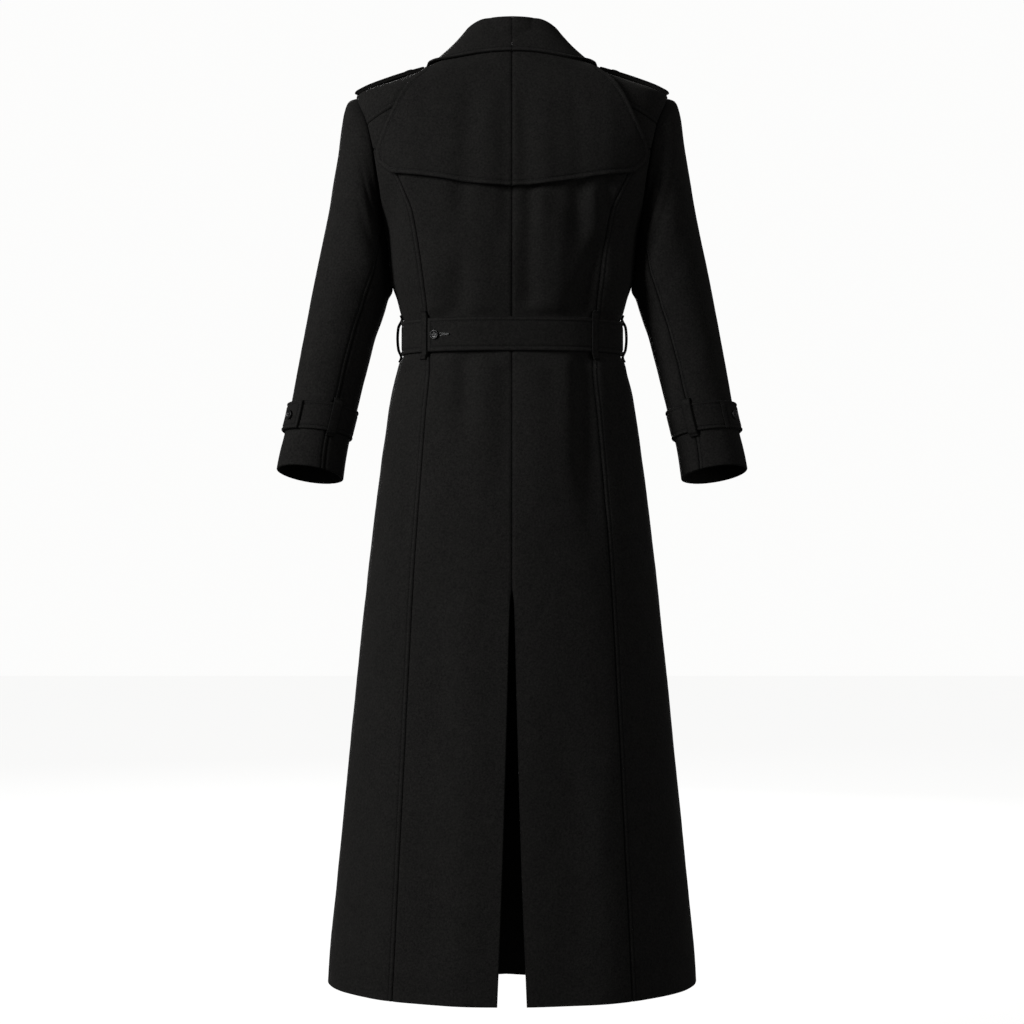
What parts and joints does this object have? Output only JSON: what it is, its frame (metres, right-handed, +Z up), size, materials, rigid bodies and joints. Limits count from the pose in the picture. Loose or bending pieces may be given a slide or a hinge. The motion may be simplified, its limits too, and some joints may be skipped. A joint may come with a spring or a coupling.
{
  "type": "long belted trench coat",
  "caption": "Floor-length belted trench coat in black wool, filled out as worn, with a storm flap, epaulettes, cuff straps, princess seams and a long back vent.",
  "frame": {"origin": "between the shoulders, where the coat bears on the wearer", "axes": "+Z up, the front faces -Y, +X is the wearer's left"},
  "size_m": [0.7052, 0.3462, 1.459],
  "materials": {
    "wool": "milled wool coating, soft matt nap",
    "button": "satin black"
  },
  "bodies": {
    "root": {"back_left": "wool", "back_right": "wool", "side_back_left": "wool", "side_back_right": "wool", "yoke_left": "wool", "yoke_right": "wool", "storm_flap_left": "wool", "storm_flap_right": "wool", "front_left": "wool", "front_right": "wool", "lapel_left": "wool", "lapel_right": "wool", "collar_left": "wool", "collar_right": "wool", "sleeve_upper_left": "wool", "sleeve_upper_right": "wool", "sleeve_under_left": "wool", "sleeve_under_right": "wool", "cuff_strap_left": "wool", "cuff_strap_right": "wool", "cuff_loop_left": "wool", "cuff_loop_right": "wool", "back_loop_left": "wool", "back_loop_right": "wool", "side_loop_left": "wool", "side_loop_right": "wool", "epaulette_left": "wool", "epaulette_right": "wool", "collar_stand": "wool", "belt": "wool", "cuff_button_left": "button", "cuff_button_right": "button", "epaulette_button_left": "button", "epaulette_button_right": "button", "front_button_1_left": "button", "front_button_1_right": "button", "front_button_2_left": "button", "front_button_2_right": "button", "front_button_3_left": "button", "front_button_3_right": "button", "belt_button": "button"}
  },
  "joints": []
}
